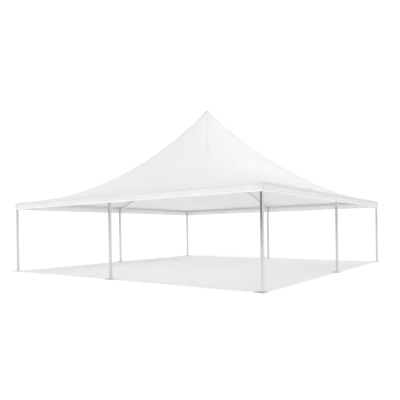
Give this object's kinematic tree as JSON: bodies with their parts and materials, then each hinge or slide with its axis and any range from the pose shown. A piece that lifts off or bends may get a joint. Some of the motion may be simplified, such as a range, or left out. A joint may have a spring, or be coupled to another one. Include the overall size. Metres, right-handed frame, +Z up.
{
  "type": "marquee tent",
  "caption": "Square frame marquee with open sides, a pointed tensioned cloth roof, a straight valance and square legs on flat base plates.",
  "frame": {"origin": "on the ground at the centre of the square plan", "axes": "+Z up through the king mast and the peak; the front side is at -Y and the right side at +X"},
  "size_m": [10.24, 10.24, 6.1133],
  "materials": {
    "roof_cloth": "white coated PVC cloth, satin, lets a little light through",
    "valance_cloth": "white coated PVC cloth, satin, with welded hems",
    "aluminium_profile": "natural anodised, satin, faint draw lines along its length",
    "cast_aluminium": "cast, fine grained, dull",
    "galvanised_steel": "hot-dip galvanised, faint spangle, dull"
  },
  "bodies": {
    "root": {"base_plate_front_left": "galvanised_steel", "leg_front_left": "aluminium_profile", "head_bracket_front_left": "cast_aluminium", "base_plate_front_right": "galvanised_steel", "leg_front_right": "aluminium_profile", "head_bracket_front_right": "cast_aluminium", "base_plate_back_right": "galvanised_steel", "leg_back_right": "aluminium_profile", "head_bracket_back_right": "cast_aluminium", "base_plate_back_left": "galvanised_steel", "leg_back_left": "aluminium_profile", "head_bracket_back_left": "cast_aluminium", "base_plate_front_middle": "galvanised_steel", "leg_front_middle": "aluminium_profile", "head_bracket_front_middle": "cast_aluminium", "base_plate_right_middle": "galvanised_steel", "leg_right_middle": "aluminium_profile", "head_bracket_right_middle": "cast_aluminium", "base_plate_back_middle": "galvanised_steel", "leg_back_middle": "aluminium_profile", "head_bracket_back_middle": "cast_aluminium", "base_plate_left_middle": "galvanised_steel", "leg_left_middle": "aluminium_profile", "head_bracket_left_middle": "cast_aluminium", "eave_beam_front_left": "aluminium_profile", "eave_beam_front_right": "aluminium_profile", "eave_beam_back_left": "aluminium_profile", "eave_beam_back_right": "aluminium_profile", "eave_beam_left_front": "aluminium_profile", "eave_beam_left_back": "aluminium_profile", "eave_beam_right_front": "aluminium_profile", "eave_beam_right_back": "aluminium_profile", "rafter_front": "aluminium_profile", "valance_front": "valance_cloth", "rafter_right": "aluminium_profile", "valance_right": "valance_cloth", "rafter_back": "aluminium_profile", "valance_back": "valance_cloth", "rafter_left": "aluminium_profile", "valance_left": "valance_cloth", "crown_hub": "cast_aluminium", "king_mast": "aluminium_profile", "mast_head": "cast_aluminium", "canopy": "roof_cloth", "peak_cap": "roof_cloth"}
  },
  "joints": []
}
